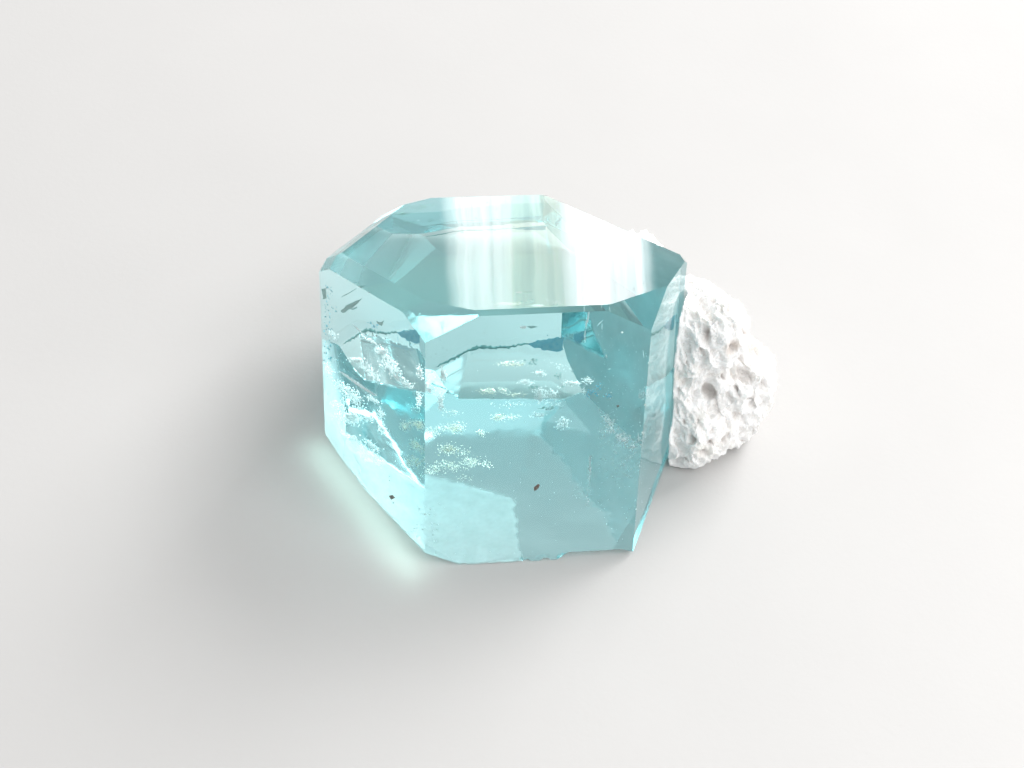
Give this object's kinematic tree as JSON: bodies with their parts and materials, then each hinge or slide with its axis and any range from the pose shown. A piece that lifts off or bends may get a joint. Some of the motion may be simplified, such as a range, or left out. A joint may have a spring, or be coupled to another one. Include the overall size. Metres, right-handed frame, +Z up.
{
  "type": "aquamarine crystal on albite matrix",
  "caption": "Stout hexagonal aquamarine crystal with a flat faceted top, leaning back on its oblique break, with a sugary white albite lump on its rear right side.",
  "frame": {"origin": "under the middle of the whole specimen's box, on the surface that it rests on", "axes": "+Z up, square to the surface it rests on; +Y to the rear, so that the crystal's front prism face is parallel to X and the crystal's long axis leans back 22 degrees towards +Y; +X towards the albite"},
  "size_m": [0.0428, 0.0336, 0.0223],
  "materials": {
    "aquamarine": "clear pale blue-green crystal, polished natural faces, frosted break",
    "albite": "white, sugary, ribbed and porous"
  },
  "bodies": {
    "root": {"aquamarine_crystal": "aquamarine", "albite_matrix": "albite"}
  },
  "joints": []
}
